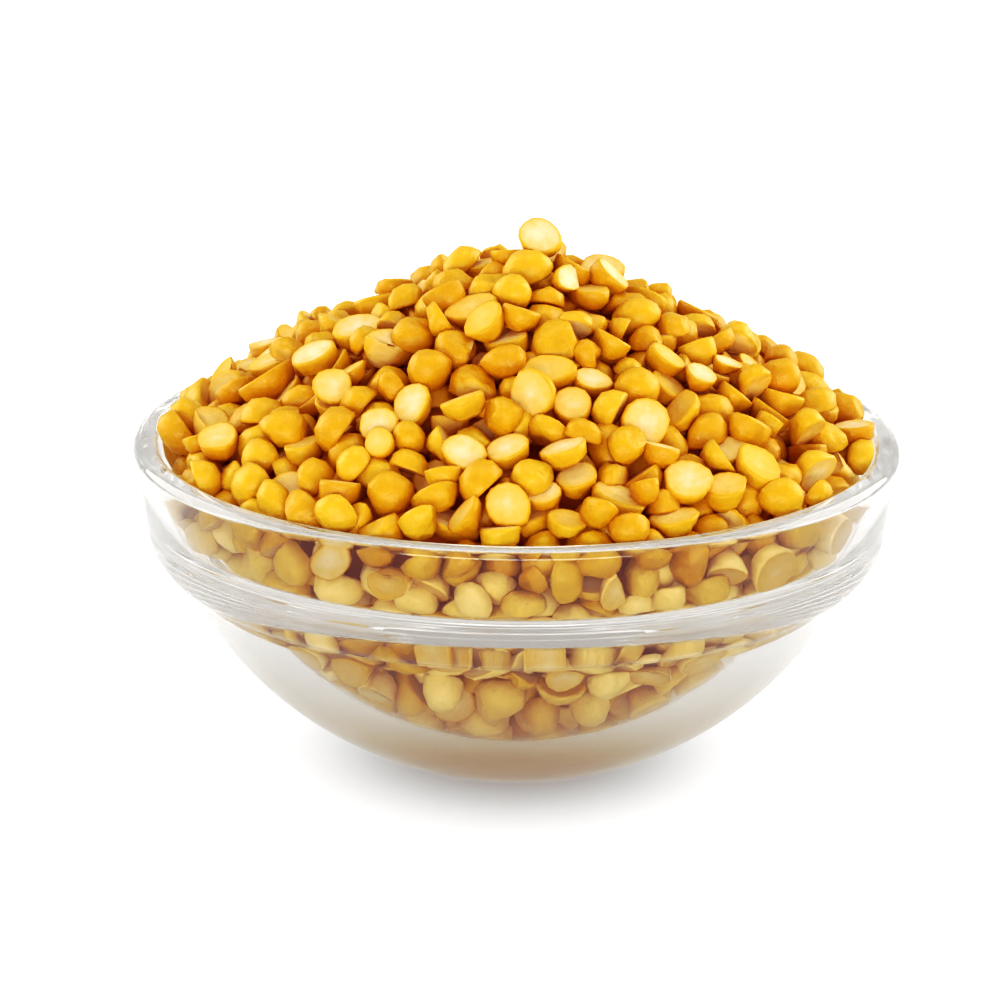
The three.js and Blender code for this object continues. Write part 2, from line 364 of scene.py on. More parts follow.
def entry(points, ways, shapes, seats):
    """Distance along its way at which each point enters a half ellipsoid, pair by pair."""
    x = np.einsum("nij,npj->npi", shapes, points - seats[:, None])
    d = np.einsum("nij,nj->ni", shapes, ways)[:, None]
    dd = (d * d).sum(-1)
    xd = (x * d).sum(-1)
    inner = xd**2 - dd * ((x * x).sum(-1) - 1)
    root = np.sqrt(np.maximum(inner, 0))
    enter, leave = (-xd - root) / dd, (-xd + root) / dd
    slope = np.where(np.abs(d[..., 2]) < TINY, TINY, d[..., 2])
    flat = -x[..., 2] / slope
    enter = np.where(slope > 0, np.maximum(enter, flat), enter)
    leave = np.where(slope > 0, leave, np.minimum(leave, flat))
    return np.where((inner > 0) & (leave > enter), enter, np.inf).min(1)


class Heap:
    """The grains laid so far, each a half ellipsoid with its cut face's centre, turn and half sizes."""

    def __init__(self):
        self.seats = np.zeros((0, 3))
        self.turns = np.zeros((0, 3, 3))
        self.sizes = np.zeros((0, 3))
        self.shapes = np.zeros((0, 3, 3))
        self.shells = np.zeros((0, len(SHELL), 3))
        self.inners = np.zeros((0, 3))

    def inner(self, seats, turn, size):
        """Middle of the cut face of the smaller shape that meets other grains."""
        return seats + turn @ np.array([0, 0, (1 - CLOSE) * COG * size[2]])

    def lay(self, seat, turn, size):
        """Keeps one grain where it came to rest."""
        inner = self.inner(seat[None], turn[None], size)[0]
        self.seats = np.vstack([self.seats, seat[None]])
        self.turns = np.concatenate([self.turns, turn[None]])
        self.sizes = np.vstack([self.sizes, size[None]])
        self.inners = np.vstack([self.inners, inner[None]])
        self.shapes = np.concatenate([self.shapes, (turn.T / (CLOSE * size)[:, None])[None]])
        shell = inner + (CLOSE * SHELL * size) @ turn.T
        self.shells = np.concatenate([self.shells, shell[None]])

    def drop(self, seats, turn, size, ways, floor=None):
        """Moves each try along its way until it touches, and returns where it comes to lie."""
        shells = seats[:, None] + np.einsum("nij,pj->npi", turn, SHELL * size)
        inners = self.inner(seats, turn, size)
        inner_shells = inners[:, None] + np.einsum("nij,pj->npi", turn, CLOSE * SHELL * size)
        shapes = np.swapaxes(turn, 1, 2) / (CLOSE * size)[:, None]
        travel = np.zeros(shells.shape[:2])
        for _ in range(TRACE):
            travel += room_to_glass(shells + travel[..., None] * ways[:, None]) - GAP
        run = travel.min(1)
        if floor is not None:
            run = np.minimum(run, floor(shells, ways))
        offset = self.inners - inners[:, None]
        along = np.einsum("nkj,nj->nk", offset, ways)
        aside = np.linalg.norm(offset - along[..., None] * ways[:, None], axis=-1)
        tries, near = np.nonzero((aside < REACH) & (along > -REACH) & (along < run[:, None] + REACH))
        if len(tries):
            ahead = entry(inner_shells[tries], ways[tries], self.shapes[near], self.inners[near])
            back = entry(self.shells[near], -ways[tries], shapes[tries], inners[tries])
            np.minimum.at(run, tries, np.minimum(ahead, back))
        return seats + run[:, None] * ways, shells + (run[:, None] * ways)[:, None]


print(f"a grain is felt at {len(SHELL)} points")

# %% [markdown]
# ## Sizes of the grains
#
# Chana dal is sorted by sieve but never even: most grains are about 7 mm long, some are small, and a few
# broken ones lie among them. The half length, half width and thickness are drawn for each grain.

# %% Draw grain sizes
SEED = 27
GRAIN_LENGTH, GRAIN_WIDTH, GRAIN_THICKNESS = 7.8, 6.8, 3.8
MIDDLE_SIZE = np.array([GRAIN_LENGTH / 2, GRAIN_WIDTH / 2, GRAIN_THICKNESS])
SIZE_SPREAD = 0.11  # of the whole grain
SIZE_LIMITS = (0.72, 1.22)  # what the sieves let through
SHAPE_SPREAD = 0.08  # of each of its sizes
rng = np.random.default_rng(SEED)


def grain_size():
    """Half length, half width and thickness of one grain."""
    whole = np.clip(1 + SIZE_SPREAD * rng.normal(), *SIZE_LIMITS)
    return MIDDLE_SIZE * (whole * (1 + SHAPE_SPREAD * rng.normal(size=3)))


print(f"grains about {GRAIN_LENGTH} x {GRAIN_WIDTH} x {GRAIN_THICKNESS} mm")

# %% [markdown]
# ## The grains against the glass
#
# Through the clear wall the dal is seen from outside, where its weight presses it onto the glass. These
# grains are dropped outwards, square to the wall, so they lie against it with their domes and cut faces
# showing.

# %% Lay the grains along the wall
heap = Heap()
TRIES = 8
NUDGES = 6
NUDGE_ROUNDS = 8
NUDGE_TURN = 10  # degrees
NUDGE_SHIFT = 1.2
WALL_LAYER = 8.8  # furthest that a grain of the wall layer reaches in from the glass
WALL_START = 18  # distance from the wall at which a grain starts its way out
WALL_TOP = BOWL_HEIGHT - 1.5
MOUTH = RIM_RADIUS - RIM_WIDTH + 0.4  # grains stay inside this radius
RIM_PENALTY = 10  # for each millimetre that a grain hangs out over the rim
GIVE_UP = 50  # failed tries in a row after which the layer is full
HOPELESS = 2.5  # a try that ends this much over the limit isn't nudged
CHANCE = 0.7  # unevenness, in millimetres, in the choice between tries

wall_run = inside[inside[:, 1] < WALL_TOP][::-1]
wall_step = np.diff(wall_run, axis=0)
wall_middle = (wall_run[1:] + wall_run[:-1]) / 2
wall_share = np.linalg.norm(wall_step, axis=1) * wall_middle[:, 0]
wall_share /= wall_share.sum()
wall_out = np.stack([wall_step[:, 1], -wall_step[:, 0]], 1)
wall_out /= np.linalg.norm(wall_out, axis=1, keepdims=True)


def wall_places(count):
    """Random places on the inside of the glass, with the way out through it."""
    at = rng.choice(len(wall_middle), count, p=wall_share)
    angle = rng.uniform(0, 2 * np.pi, count)
    ring = np.stack([np.cos(angle), np.sin(angle)], 1)
    place = np.column_stack([ring * wall_middle[at, :1], wall_middle[at, 1]])
    ways = np.column_stack([ring * wall_out[at, :1], wall_out[at, 1]])
    return place, ways


def settle(seats, turn, size, ways, depth, limit, floor=None):
    """Drops several tries, nudges the best unless it is hopeless, and returns its seat, turn and depth."""
    seats, shells = heap.drop(seats, turn, size, ways, floor)
    score = depth(shells) + rng.normal(size=len(seats)) * CHANCE
    best = int(np.argmin(score))
    seat, kept, way = seats[best], turn[best], ways[best]
    deepest = depth(shells[best : best + 1])[0]
    for _ in range(NUDGE_ROUNDS if deepest < limit + HOPELESS else 0):
        new_turn = small_turns(rng, NUDGES, NUDGE_TURN) @ kept
        shift = rng.normal(size=(NUDGES, 3)) * NUDGE_SHIFT
        shift -= (shift @ way)[:, None] * way
        middle = seat + kept @ np.array([0, 0, COG * size[2]])
        start = middle + shift - WALL_START * way - new_turn @ np.array([0, 0, COG * size[2]])
        tried, shells = heap.drop(start, new_turn, size, np.repeat(way[None], NUDGES, 0), floor)
        depths = depth(shells)
        lowest = int(np.argmin(depths))
        if depths[lowest] < deepest:
            seat, kept, deepest = tried[lowest], new_turn[lowest], depths[lowest]
    return seat, kept, deepest


def over_rim(shells):
    """A penalty for the points that hang out over the rim."""
    return RIM_PENALTY * np.maximum(0, np.hypot(shells[..., 0], shells[..., 1]) - MOUTH)


def reach_from_glass(shells):
    """How far in from the glass each try reaches, or hangs out over the rim."""
    return (room_to_glass(shells) + over_rim(shells)).max(1)


failed = 0
while failed < GIVE_UP:
    size = grain_size()
    place, ways = wall_places(TRIES)
    turn = np.repeat(turns(rng, 1), TRIES, 0)
    start = place - WALL_START * ways
    seat, kept, deep = settle(start, turn, size, ways, reach_from_glass, WALL_LAYER)
    if deep < WALL_LAYER:
        heap.lay(seat, kept, size)
        failed = 0
    else:
        failed += 1
wall_count = len(heap.seats)
print(f"{wall_count} grains along the glass")

# %% [markdown]
# ## The grains on top
#
# The rest fall straight down onto a core that lies a few grains under the outline. Poured dal comes to lie
# nearly level, with its cut face up or down, so each grain starts that way. It stays if its middle comes to
# rest below the outline, which lets a grain on edge stick out a little. The heap is full when no more fit.

# %% Lay the grains on top
TOP_LAYER = 11.0  # depth of the loose grains above the core
CORE_ROOM = 10.0  # between the core's side and the glass
CORE_EDGE = RIM_RADIUS - RIM_WIDTH - CORE_ROOM
DROP_START = 26
OVER = -1.5  # a grain's middle stays at least this far under the outline


def core_floor(shells, ways):
    """Distance straight down to the core, for the points above it."""
    x, y, z = np.moveaxis(shells, -1, 0)
    above = z - (heap_height(x, y) - TOP_LAYER)
    return np.where(np.hypot(x, y) < CORE_EDGE, above, np.inf).min(1)


def rise_over_outline(shells):
    """How far the middle of each try stands above the heap's outline, with the penalty at the rim."""
    x, y, z = np.moveaxis(shells, -1, 0)
    return (z - heap_height(x, y)).mean(1) + over_rim(shells).max(1)


DOWN = np.array([0, 0, -1.0])
failed = 0
while failed < GIVE_UP:
    size = grain_size()
    radius = MOUTH * np.sqrt(rng.uniform(size=TRIES))
    angle = rng.uniform(0, 2 * np.pi, TRIES)
    x, y = radius * np.cos(angle), radius * np.sin(angle)
    start = np.column_stack([x, y, heap_height(x, y) + DROP_START])
    turn = np.repeat(lying_turns(rng, 1), TRIES, 0)
    ways = np.repeat(DOWN[None], TRIES, 0)
    seat, kept, over = settle(start, turn, size, ways, rise_over_outline, OVER, core_floor)
    if over < OVER:
        heap.lay(seat, kept, size)
        failed = 0
    else:
        failed += 1
print(f"{len(heap.seats) - wall_count} grains on top")

# %% [markdown]
# ## The last grain
#
# One grain came last and leans on the peak, with its cut face towards the front.

# %% Lay the last grain
LAST_PLACE = (2.0, 2.0)
LAST_FACE = np.array([0, -0.75, 0.66])  # the way that its cut face looks
LAST_TRIES = 40
LAST_SPREAD = 0.6  # millimetres round that place
start = np.array([*LAST_PLACE, heap_height(*LAST_PLACE) + DROP_START])
start = start + rng.normal(size=(LAST_TRIES, 3)) * LAST_SPREAD
turn = np.repeat(onto(-LAST_FACE / np.linalg.norm(LAST_FACE))[None], LAST_TRIES, 0)
seats, shells = heap.drop(start, turn, MIDDLE_SIZE, np.repeat(DOWN[None], LAST_TRIES, 0), core_floor)
lowest = int(np.argmin(seats[:, 2]))
heap.lay(seats[lowest], turn[lowest], MIDDLE_SIZE)
print(f"the last grain reaches {shells[lowest, :, 2].max():.1f} mm above the foot")

# %% [markdown]
# ## Adding nodes
#
# Materials and Geometry Nodes are both trees of nodes. One small function adds a node with its settings, and
# each of its inputs is either linked to another node's output or set to a value.

# %% Write the node helper and the colour helper


def add(tree, kind, settings=None, inputs=None):
    """Adds a node, applies its settings, and links or sets the inputs, which are named or numbered."""
    node = tree.nodes.new(kind)
    for key, value in (settings or {}).items():
        setattr(node, key, value)
    for key, value in (inputs or {}).items():
        if isinstance(value, bpy.types.NodeSocket):
            tree.links.new(value, node.inputs[key])
        else:
            node.inputs[key].default_value = value
    return node


def linear(code):
    """An sRGB hex colour as linear red, green, blue and alpha."""
    parts = [int(code[i : i + 2], 16) / 255 for i in (1, 3, 5)]
    return [c / 12.92 if c <= 0.04045 else ((c + 0.055) / 1.055) ** 2.4 for c in parts] + [1]


def new_material(name):
    """An empty material and its tree, with the output node."""
    material = bpy.data.materials.new(name)
    material.use_nodes = True
    material.node_tree.nodes.clear()
    return material, material.node_tree, material.node_tree.nodes.new("ShaderNodeOutputMaterial")


# %% [markdown]
# ## Pressed soda-lime glass
#
# Tempered soda-lime glass is clear, and its fire-polished skin is smooth but not quite flat. A transmissive
# surface with an index of 1.52 bends light as it does, and a very low wave of about 25 mm gives the slight
# swim that pressed glass has. A straw tint that deepens towards the foot is painted shade: it darkens and
# warms the lower glass, where it mirrors the shadowed floor. Dry dal leaves flour on its bowl, and a faint
# sheen stands for that dust.

# %% Make the glass material
GLASS_IOR = 1.52
GLASS_WAVE = 25  # millimetres
WAVE_HEIGHT = 0.4  # millimetres, of which the strength takes a small share
WAVE_STRENGTH = 0.03
DUST, DUST_SPREAD = 0.07, 0.5
DUST_TINT = "#FFF6E6"
FOOT_SHADE_TINTS = {6: "#C8B08E", 14: "#ECE3D4", 24: "#FDFBF8"}  # painted shade: tint at heights above the foot in millimetres, darker towards the foot


def soda_lime_glass():
    material, tree, output = new_material("pressed soda-lime glass")
    place = add(tree, "ShaderNodeTexCoord").outputs["Object"]
    height = add(tree, "ShaderNodeSeparateXYZ", inputs={"Vector": place}).outputs["Z"]
    share = add(tree, "ShaderNodeMapRange", inputs={"Value": height, "From Max": BOWL_HEIGHT * MM})
    # painted shade: the glass's tint darkens towards the foot
    foot_shade = add(tree, "ShaderNodeValToRGB", inputs={"Fac": share.outputs["Result"]})
    steps = foot_shade.color_ramp.elements
    steps.remove(steps[1])
    steps[0].position = 0
    for level, tint in FOOT_SHADE_TINTS.items():
        steps.new(level / BOWL_HEIGHT).color = linear(tint)
    steps[0].color = linear(FOOT_SHADE_TINTS[min(FOOT_SHADE_TINTS)])
    wave = add(
        tree,
        "ShaderNodeTexNoise",
        inputs={"Vector": place, "Scale": 1 / (GLASS_WAVE * MM), "Detail": 1.0},
    )
    bump = add(
        tree,
        "ShaderNodeBump",
        inputs={"Height": wave.outputs["Fac"], "Strength": WAVE_STRENGTH, "Distance": WAVE_HEIGHT * MM},
    )
    glass = add(
        tree,
        "ShaderNodeBsdfPrincipled",
        inputs={
            "Base Color": foot_shade.outputs["Color"],
            "Roughness": 0.0,
            "IOR": GLASS_IOR,
            "Transmission Weight": 1.0,
            "Sheen Weight": DUST,
            "Sheen Roughness": DUST_SPREAD,
            "Sheen Tint": linear(DUST_TINT),
            "Normal": bump.outputs["Normal"],
        },
    )
    tree.links.new(glass.outputs["BSDF"], output.inputs["Surface"])
    return material


glass = soda_lime_glass()
bowl.data.materials.append(glass)
print("material:", glass.name)

# %% [markdown]
# ## Dried split chickpea
#
# The seed under the skin is waxy yellow, deeper and more orange on its domed back, with a soft gloss and a
# finely wrinkled surface. The cut face is dry, pale and mealy, and yellower towards its edge. Each grain's
# mesh carries an attribute that tells the cut face from the back, and each grain has a tone and a paleness.

# %% Make the chickpea material
WRINKLE = 1.6  # millimetres
MEAL = 0.35  # the cut face's fine grit, drawn coarser than it is so that it shows
MEAL_SHARE = 0.2  # of the relief
RELIEF_HEIGHT = 0.55  # millimetres, of which the strength takes a share
RELIEF_STRENGTH = 0.6
DEEP, GOLDEN, LIGHT, PAINTED_LIGHT_PALE = "#C89213", "#CE9C1B", "#D6A930", "#FADA90"  # the back, by tone; its palest colour is painted light, reached only by grains against the glass
GOLDEN_AT, LIGHT_AT = 0.35, 0.7
FACE_EDGE, FACE_MIDDLE = "#D6A428", "#E4CA9C"
FACE_EDGE_AT, FACE_MIDDLE_AT = 0.15, 0.85
PATCHY = 0.15  # how far the wrinkles show in the back's colour
MOTTLE_FROM, MOTTLE_TO = (0.3, 0.7), (0.75, 1.15)
FACE_STARTS = (0.1, 0.4)  # of the cut attribute
BACK_ROUGH, FACE_ROUGH = 0.38, 0.6
SEED_IOR = 1.45


def split_chickpea():
    material, tree, output = new_material("dried split chickpea")
    place = add(tree, "ShaderNodeTexCoord").outputs["Object"]
    tone = add(tree, "ShaderNodeAttribute", {"attribute_name": "tone"}).outputs["Fac"]
    cut = add(tree, "ShaderNodeAttribute", {"attribute_name": "cut"}).outputs["Fac"]
    pale = add(tree, "ShaderNodeAttribute", {"attribute_name": "pale"}).outputs["Fac"]
    wrinkle = add(
        tree,
        "ShaderNodeTexNoise",
        inputs={"Vector": place, "Scale": 1 / (WRINKLE * MM), "Detail": 3.0},
    ).outputs["Fac"]
    meal = add(
        tree,
        "ShaderNodeTexNoise",
        inputs={"Vector": place, "Scale": 1 / (MEAL * MM), "Detail": 2.0},
    ).outputs["Fac"]
    back = add(tree, "ShaderNodeValToRGB", inputs={"Fac": tone})
    back.color_ramp.elements[0].color = linear(DEEP)
    back.color_ramp.elements[1].color = linear(PAINTED_LIGHT_PALE)
    back.color_ramp.elements.new(GOLDEN_AT).color = linear(GOLDEN)
    back.color_ramp.elements.new(LIGHT_AT).color = linear(LIGHT)
    patchy = add(
        tree,
        "ShaderNodeMix",
        {"data_type": "RGBA", "blend_type": "OVERLAY"},
        {0: PATCHY, 6: back.outputs["Color"], 7: wrinkle},
    )
    mottled = add(
        tree,
        "ShaderNodeMapRange",
        inputs={
            "Value": wrinkle,
            "From Min": MOTTLE_FROM[0],
            "From Max": MOTTLE_FROM[1],
            "To Min": MOTTLE_TO[0],
            "To Max": MOTTLE_TO[1],
        },
    ).outputs["Result"]
    centre = add(tree, "ShaderNodeMath", {"operation": "MULTIPLY"}, {0: cut, 1: mottled}).outputs["Value"]
    paler = add(tree, "ShaderNodeMath", {"operation": "MULTIPLY"}, {0: centre, 1: pale}).outputs["Value"]
    face = add(tree, "ShaderNodeValToRGB", inputs={"Fac": paler})
    face.color_ramp.elements[0].position = FACE_EDGE_AT
    face.color_ramp.elements[0].color = linear(FACE_EDGE)
    face.color_ramp.elements[1].position = FACE_MIDDLE_AT
    face.color_ramp.elements[1].color = linear(FACE_MIDDLE)
    is_face = add(
        tree,
        "ShaderNodeMapRange",
        {"interpolation_type": "SMOOTHSTEP"},
        {"Value": cut, "From Min": FACE_STARTS[0], "From Max": FACE_STARTS[1]},
    ).outputs["Result"]
    colour = add(
        tree,
        "ShaderNodeMix",
        {"data_type": "RGBA"},
        {0: is_face, 6: patchy.outputs[2], 7: face.outputs["Color"]},
    )
    rough = add(
        tree,
        "ShaderNodeMapRange",
        inputs={"Value": is_face, "To Min": BACK_ROUGH, "To Max": FACE_ROUGH},
    ).outputs["Result"]
    relief = add(tree, "ShaderNodeMix", {"data_type": "FLOAT"}, {0: MEAL_SHARE, 2: wrinkle, 3: meal})
    bump = add(
        tree,
        "ShaderNodeBump",
        inputs={
            "Height": relief.outputs[0],
            "Strength": RELIEF_STRENGTH,
            "Distance": RELIEF_HEIGHT * MM,
        },
    )
    seed = add(
        tree,
        "ShaderNodeBsdfPrincipled",
        inputs={
            "Base Color": colour.outputs[2],
            "Roughness": rough,
            "IOR": SEED_IOR,
            "Normal": bump.outputs["Normal"],
        },
    )
    tree.links.new(seed.outputs["BSDF"], output.inputs["Surface"])
    return material


chickpea = split_chickpea()
print("material:", chickpea.name)

# %% [markdown]
# ## The shapes of single grains
#
# A split chickpea is a low dome on a flat face, with a small beak at one end where the sprout was. A few
# shapes of each kind are enough, because every grain is also turned and stretched in its own way. Rings of
# points give the dome, the rounded edge and the cut face, and dents, a beak and a break are moves of those
# points. Sizes here are shares of the grain's half length, half width and thickness.

# %% Model the kinds of grain
SIDES = 14
DOME = ((0.58, 0.9), (0.92, 0.56), (1.0, 0.11))
FACE = ((0.95, 0.0), (0.84, 0.01))
FACE_CUT = (0.2, 0.55)  # the cut attribute on the face's rings, low at the yellow edge
BREAK_CUT = 0.6
LOBES = {2: 0.06, 3: 0.05, 4: 0.03, 5: 0.02}  # waves round the outline and how high each can be
BEAK, BEAK_WIDTH = 0.2, 0.4
BREAK_AT = (0.1, 0.55)  # distance of a break from the middle
UNBROKEN = 2  # a break so far out that it takes nothing off
SIDEWAYS = 0.05  # least cosine, which keeps a break's reach finite
HOLLOW = (-0.02, 0.08)  # rise of the cut face's middle
DENT_TILT = (0.1, 1.2)  # radians from the top of the dome
DENT_WIDTH = (0.3, 0.5)
DENT_DEPTH = (0.12, 0.32)
FLAT_SHARE = 0.3  # share of the dents that are flat spots, pressed in the pod
FLAT_AT = (0.78, 0.92)
SKEW = 0.16
SHAPES_PER_KIND = 10
rng_shapes = np.random.default_rng(SEED + 1)


def direction(tilt, turn):
    """A unit vector at a tilt from upright."""
    return np.array([math.sin(tilt) * math.cos(turn), math.sin(tilt) * math.sin(turn), math.cos(tilt)])


def grain_points(dents, broken):
    """Points of one grain of unit half sizes, its cut face on z = 0, and how far each is on the cut face."""
    angle = np.arange(SIDES) / SIDES * 2 * np.pi
    outline = np.ones(SIDES)
    for waves, most in LOBES.items():
        outline += rng_shapes.uniform(0, most) * np.cos(waves * angle + rng_shapes.uniform(0, 2 * np.pi))
    beak = rng_shapes.uniform(0, BEAK) * np.exp(-(((angle - np.pi) / BEAK_WIDTH) ** 2))
    toward = np.cos(angle - rng_shapes.uniform(0, 2 * np.pi))
    edge = rng_shapes.uniform(*BREAK_AT) if broken else UNBROKEN
    limit = edge / np.maximum(toward, SIDEWAYS)
    points, cut = [(0, 0, 1)], [0]
    for ring, (radius, height) in enumerate(DOME + FACE):
        reach = np.minimum(radius * (outline + beak * radius**2), limit)
        points += list(zip(reach * np.cos(angle), reach * np.sin(angle), np.full(SIDES, height)))
        ring_cut = 0 if ring < len(DOME) else FACE_CUT[ring - len(DOME)]
        cut += np.where(reach == limit, np.maximum(ring_cut, BREAK_CUT), ring_cut).tolist()
    hollow = rng_shapes.uniform(*HOLLOW)
    points, cut = np.array(points + [(0, 0, hollow)]), np.array(cut + [1.0])
    dome = np.r_[True, np.repeat(np.arange(len(DOME + FACE)) < len(DOME) - 1, SIDES), False]
    for _ in range(dents):
        at = direction(rng_shapes.uniform(*DENT_TILT), rng_shapes.uniform(0, 2 * np.pi))
        if rng_shapes.uniform() < FLAT_SHARE:
            over = np.maximum(0, points @ at - rng_shapes.uniform(*FLAT_AT))
            points -= (over * dome)[:, None] * at
        else:
            away = np.linalg.norm(points - at, axis=1)
            near = np.exp(-((away / rng_shapes.uniform(*DENT_WIDTH)) ** 2))
            points -= (rng_shapes.uniform(*DENT_DEPTH) * near * dome)[:, None] * at
    points[:, :2] += points[:, 2:] * rng_shapes.uniform(-SKEW, SKEW, 2)
    points[:, :2] /= np.linalg.norm(points[:, :2], axis=1).max()
    return points, cut


def grain_mesh(name, dents, broken):
    """One grain as a small closed mesh with its cut attribute."""
    points, cut = grain_points(dents, broken)
    faces = []
    rings = len(DOME + FACE)
    last = len(points) - 1
    for i in range(SIDES):
        j = (i + 1) % SIDES
        faces.append((0, 1 + i, 1 + j))
        for k in range(rings - 1):
            a, b = 1 + k * SIDES, 1 + (k + 1) * SIDES
            faces.append((a + i, b + i, b + j, a + j))
        end = 1 + (rings - 1) * SIDES
        faces.append((end + i, last, end + j))
    made = make_object(name, points / MM, faces)
    made.data.attributes.new("cut", "FLOAT", "POINT").data.foreach_set("value", cut.astype(np.float32))
    return made


KINDS = {"dal_clean_splits": (1, False), "dal_dented_splits": (4, False), "dal_broken_splits": (2, True)}
KIND_SHARES = (0.5, 0.36, 0.14)
kinds = {}
for name, (dents, broken) in KINDS.items():
    group = bpy.data.collections.new(name + "_shapes")
    for k in range(SHAPES_PER_KIND):
        shape = grain_mesh(f"{name}_{k}", dents, broken)
        bpy.context.scene.collection.objects.unlink(shape)
        group.objects.link(shape)
    kinds[name] = group
print(f"{len(kinds)} kinds of grain with {SHAPES_PER_KIND} shapes each")

# %% [markdown]
# ## Setting the grains with Geometry Nodes
#
# Each grain is a point that knows its turn, its size, its tone and which shape it takes, all drawn from a
# fixed seed. A Geometry Nodes tree sets the shapes on the points and makes them real, because the export
# drops instances. The result is then kept as a plain mesh, one for each kind.

# %% Build the tree that sets grains


def grain_setter():
    tree = bpy.data.node_groups.new("set grains", "GeometryNodeTree")
    for name, kind in (
        ("Points", "NodeSocketGeometry"),
        ("Shapes", "NodeSocketCollection"),
        ("Finish", "NodeSocketMaterial"),
    ):
        tree.interface.new_socket(name, in_out="INPUT", socket_type=kind)
    tree.interface.new_socket("Grains", in_out="OUTPUT", socket_type="NodeSocketGeometry")
    given = add(tree, "NodeGroupInput").outputs
    read = "GeometryNodeInputNamedAttribute"
    pick = add(tree, read, {"data_type": "INT"}, {"Name": "pick"}).outputs["Attribute"]
    lean = add(tree, read, {"data_type": "FLOAT_VECTOR"}, {"Name": "lean"}).outputs["Attribute"]
    size = add(tree, read, {"data_type": "FLOAT_VECTOR"}, {"Name": "size"}).outputs["Attribute"]
    shapes = add(
        tree,
        "GeometryNodeCollectionInfo",
        inputs={"Collection": given["Shapes"], "Separate Children": True, "Reset Children": True},
    )
    turn = add(tree, "FunctionNodeEulerToRotation", inputs={"Euler": lean}).outputs["Rotation"]
    grains = add(
        tree,
        "GeometryNodeInstanceOnPoints",
        inputs={
            "Points": given["Points"],
            "Instance": shapes.outputs["Instances"],
            "Pick Instance": True,
            "Instance Index": pick,
            "Rotation": turn,
            "Scale": size,
        },
    )
    real = add(tree, "GeometryNodeRealizeInstances", inputs={"Geometry": grains.outputs["Instances"]})
    done = add(
        tree,
        "GeometryNodeSetMaterial",
        inputs={"Geometry": real.outputs["Geometry"], "Material": given["Finish"]},
    )
    add(tree, "NodeGroupOutput", inputs={"Grains": done.outputs["Geometry"]})
    return tree


setter = grain_setter()
sockets = {s.name: s.identifier for s in setter.interface.items_tree if s.in_out == "INPUT"}
print("tree inputs:", list(sockets))

# %% Set the grains and keep plain meshes


def set_grains(name, members):
    """One mesh of all the grains of a kind."""
    points = bpy.data.meshes.new(name + "_points")
    points.from_pydata((heap.seats[members] * MM).tolist(), [], [])
    lean = [Matrix(t.tolist()).to_euler() for t in heap.turns[members]]
    pick = rng_shapes.integers(0, SHAPES_PER_KIND, len(members))
    columns = {
        "lean": ("FLOAT_VECTOR", "vector", np.array(lean)),
        "size": ("FLOAT_VECTOR", "vector", heap.sizes[members] * MM),
        "pick": ("INT", "value", pick),
        "tone": ("FLOAT", "value", tone[members]),
        "pale": ("FLOAT", "value", pale[members]),
    }
    for key, (kind, field, values) in columns.items():
        values = values.astype(np.int32 if kind == "INT" else np.float32)
        points.attributes.new(key, kind, "POINT").data.foreach_set(field, values.ravel())
    holder = bpy.data.objects.new(name + "_points", points)
    bpy.context.scene.collection.objects.link(holder)
    modifier = holder.modifiers.new("set grains", "NODES")
    modifier.node_group = setter
    modifier[sockets["Shapes"]] = kinds[name]
    modifier[sockets["Finish"]] = chickpea
    evaluated = holder.evaluated_get(bpy.context.evaluated_depsgraph_get())
    mesh = bpy.data.meshes.new_from_object(evaluated)
    mesh.name = name
    bpy.data.objects.remove(holder)
    made = bpy.data.objects.new(name, mesh)
    bpy.context.scene.collection.objects.link(made)
    return made


TONES = 0.65  # of the ramp, shared by all grains
WALL_PAINTED_LIGHT = 0.6  # painted light: the grains against the glass are painted paler, for the light they lose behind it
PAINTED_LIGHT_DEPTH = 6  # under the rim, where that painted light starts
TOP_PALE, WALL_PALE = (0.4, 1), (0.4, 1)  # how pale the cut faces are, on top and against the glass
kind_of = rng_shapes.choice(len(KINDS), len(heap.seats), p=KIND_SHARES)
kind_of[-1] = 0  # the grain on the peak is a clean one
# painted light: grains against the glass, lower than the rim, are painted paler
painted_lighter = (np.arange(len(heap.seats)) < wall_count) & (heap.seats[:, 2] < BOWL_HEIGHT - PAINTED_LIGHT_DEPTH)
tone = rng_shapes.uniform(0, TONES, len(heap.seats)) + np.where(painted_lighter, WALL_PAINTED_LIGHT, 0)
pale = rng_shapes.uniform(*TOP_PALE, len(heap.seats))
pale[:wall_count] = rng_shapes.uniform(*WALL_PALE, wall_count)
pale[-1] = 1  # and its cut face is pale
dal = []
for index, name in enumerate(KINDS):
    piece = set_grains(name, np.nonzero(kind_of == index)[0])
    dal.append(piece)
    print(f"{name}: {len(piece.data.polygons)} faces")
for group in kinds.values():
    for shape in list(group.objects):
        bpy.data.objects.remove(shape)
    bpy.data.collections.remove(group)

# %% [markdown]
# ## The core
#
# Behind the grains that show lies more dal in deep shade. One closed core stands for it, a few grains back
# from the glass and under the outline, in the deep orange that dal takes where hardly any light reaches.

# %% Make the core
CORE_STEPS = 72
CORE_SIDE_STEPS = 12
CORE_TOP_RINGS = 14
CORE_LIT, CORE_DEEP = "#DC9A28", "#A86418"
CORE_ROUGH = 0.8
SAME = 0.01  # millimetres by which equal heights may differ


